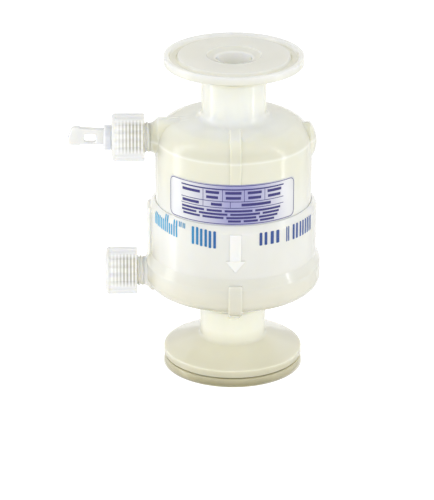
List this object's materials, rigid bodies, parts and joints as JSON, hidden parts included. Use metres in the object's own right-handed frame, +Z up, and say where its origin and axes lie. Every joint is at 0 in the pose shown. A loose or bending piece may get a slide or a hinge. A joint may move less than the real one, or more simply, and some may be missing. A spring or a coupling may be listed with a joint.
{
  "type": "capsule filter",
  "caption": "Disposable capsule filter in milky plastic: clamp flanges at both ends, domed head, stepped bowl, side vent valve with finger tab and side drain cap, pleated cartridge inside.",
  "frame": {"origin": "centre of the outlet flange's face, which the capsule stands on", "axes": "+Z up along the flow axis to the inlet, the ports point to -X and the arrow faces -Y"},
  "size_m": [0.0919, 0.0644, 0.116],
  "materials": {
    "natural_polypropylene": "satin gloss, milky translucent",
    "label_film": "satin film with blue print",
    "cartridge_polypropylene": "matt",
    "pleat_fleece": "fine non-woven",
    "filter_membrane": "matt porous",
    "silicone": "satin, milky translucent"
  },
  "bodies": {
    "capsule": {"inlet_head": "natural_polypropylene", "outlet_bowl": "natural_polypropylene", "rating_label": "label_film", "upper_end_cap": "cartridge_polypropylene", "lower_end_cap": "cartridge_polypropylene", "outer_cage": "cartridge_polypropylene", "inner_core": "cartridge_polypropylene", "upstream_fleece": "pleat_fleece", "membrane": "filter_membrane", "downstream_fleece": "pleat_fleece"},
    "vent_valve": {"vent_plug": "natural_polypropylene", "vent_o_ring": "silicone"},
    "vent_nut": {"vent_nut": "natural_polypropylene"},
    "drain_seal": {"drain_seal": "silicone"},
    "drain_cap": {"drain_cap": "natural_polypropylene"}
  },
  "joints": [
    {"name": "vent_lift", "type": "slide", "parent": "capsule", "child": "vent_valve", "axis": [-1, 0, 0], "range_m": [0, 0.00187]},
    {"name": "vent_turn", "type": "hinge", "parent": "vent_valve", "child": "vent_nut", "pos_m": [-0.038, 0, 0.0847], "axis": [-1, 0, 0], "range_deg": [0, 540]},
    {"name": "drain_lift", "type": "slide", "parent": "capsule", "child": "drain_seal", "axis": [-1, 0, 0], "range_m": [0, 0.00187]},
    {"name": "drain_turn", "type": "hinge", "parent": "drain_seal", "child": "drain_cap", "pos_m": [-0.041, 0, 0.0325], "axis": [-1, 0, 0], "range_deg": [0, 540]}
  ],
  "couplings": [
    {"joint": "vent_lift", "follows": "vent_turn", "m_per_rad": 0.00019894},
    {"joint": "drain_lift", "follows": "drain_turn", "m_per_rad": 0.00019894}
  ]
}
